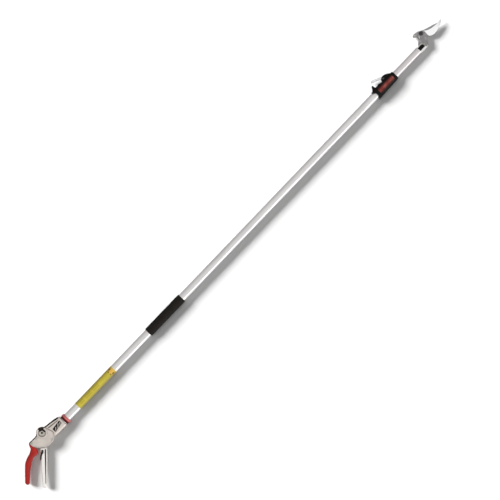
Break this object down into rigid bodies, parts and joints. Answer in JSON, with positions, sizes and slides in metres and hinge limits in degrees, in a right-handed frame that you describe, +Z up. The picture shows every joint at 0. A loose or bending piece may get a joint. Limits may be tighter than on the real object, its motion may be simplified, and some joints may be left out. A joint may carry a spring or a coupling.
{
  "type": "telescoping pole pruner",
  "caption": "Telescoping pole pruner with a pistol-grip trigger handle, foam grip sleeve, lever clamp and a hooked bypass cutting head.",
  "frame": {"origin": "middle of the footprint, on the plane the tool lies on", "axes": "+X along the pole from the handle to the cutting head, +Y towards the branch hook side, +Z up from the ground, square to the handle's side plate"},
  "size_m": [1.9016, 0.1464, 0.036],
  "materials": {
    "satin_tube": "satin drawn tube",
    "cast_handle": "smooth die casting",
    "lever_casting": "polished casting",
    "dipped_grip": "dipped soft red vinyl",
    "red_moulding": "moulded dark red",
    "yellow_film": "printed film",
    "foam_sleeve": "fine matt foam rubber",
    "black_moulding": "fine grained moulding",
    "clamp_chrome": "bright plated",
    "blade_dark": "dark low-friction coating",
    "head_steel": "ground forging",
    "zinc_parts": "zinc plated",
    "dark_fasteners": "blackened steel",
    "ground_pins": "ground"
  },
  "bodies": {
    "outer_pole": {"outer_tube": "satin_tube", "pole_label": "yellow_film", "grip_sleeve": "foam_sleeve", "front_collar": "red_moulding", "handle_body": "cast_handle", "handle_side_plate": "cast_handle", "plate_screw_1": "zinc_parts", "plate_screw_2": "zinc_parts", "plate_screw_3": "zinc_parts", "handle_grip": "dipped_grip", "pivot_bolt": "zinc_parts", "pivot_nut": "zinc_parts", "neck_screw": "dark_fasteners", "spring_seat": "black_moulding", "return_spring": "zinc_parts", "lock_body": "black_moulding", "lock_cover": "red_moulding", "lock_pin": "dark_fasteners"},
    "inner_pole": {"inner_tube": "satin_tube", "inner_tail_bush": "black_moulding", "head_frame": "head_steel", "head_top_plate": "head_steel", "head_rivet_1": "zinc_parts", "head_rivet_2": "zinc_parts", "counter_blade": "clamp_chrome", "blade_bolt": "dark_fasteners", "blade_nut": "zinc_parts"},
    "trigger": {"trigger_lever": "lever_casting", "latch_pin": "dark_fasteners"},
    "latch": {"safety_latch": "black_moulding"},
    "handle_drive": {"drive_clevis": "zinc_parts", "drive_pin": "ground_pins", "drive_tube": "zinc_parts", "drive_end_sleeve": "zinc_parts", "spring_collar": "zinc_parts"},
    "head_drive": {"drive_rod": "ground_pins", "rod_end": "black_moulding", "rod_tongue": "zinc_parts", "tang_pin": "ground_pins"},
    "blade": {"cutting_blade": "blade_dark"},
    "clamp": {"lock_lever": "clamp_chrome"},
    "pad": {"lock_pad": "zinc_parts"}
  },
  "joints": [
    {"name": "pole_slide", "type": "slide", "parent": "outer_pole", "child": "inner_pole", "axis": [1, 0, 0], "range_m": [0, 1.08]},
    {"name": "trigger_pivot", "type": "hinge", "parent": "outer_pole", "child": "trigger", "pos_m": [-0.80065, 0.05155, 0.017], "axis": [0, 0, 1], "range_deg": [0, 24]},
    {"name": "latch_pivot", "type": "hinge", "parent": "trigger", "child": "latch", "pos_m": [-0.84064, 0.01159, 0.0268], "axis": [0, 0, 1], "range_deg": [-14, 0]},
    {"name": "handle_drive_slide", "type": "slide", "parent": "outer_pole", "child": "handle_drive", "axis": [1, 0, 0], "range_m": [0, 0.0098]},
    {"name": "head_drive_slide", "type": "slide", "parent": "inner_pole", "child": "head_drive", "axis": [1, 0, 0], "range_m": [0, 0.0098]},
    {"name": "blade_pivot", "type": "hinge", "parent": "inner_pole", "child": "blade", "pos_m": [0.87635, 0.05905, 0.017], "axis": [0, 0, 1], "range_deg": [0, 36.2]},
    {"name": "clamp_pivot", "type": "hinge", "parent": "outer_pole", "child": "clamp", "pos_m": [0.69735, 0.04755, 0.017], "axis": [0, 0, 1], "range_deg": [-70, 0]},
    {"name": "pad_slide", "type": "slide", "parent": "outer_pole", "child": "pad", "axis": [0, 1, 0], "range_m": [0, 0.0008]}
  ],
  "couplings": [
    {"joint": "handle_drive_slide", "follows": "trigger_pivot", "m_per_rad": 0.023342},
    {"joint": "head_drive_slide", "follows": "trigger_pivot", "m_per_rad": 0.023342},
    {"joint": "blade_pivot", "follows": "trigger_pivot", "ratio": 1.5043},
    {"joint": "pad_slide", "follows": "clamp_pivot", "m_per_rad": -0.0006}
  ]
}
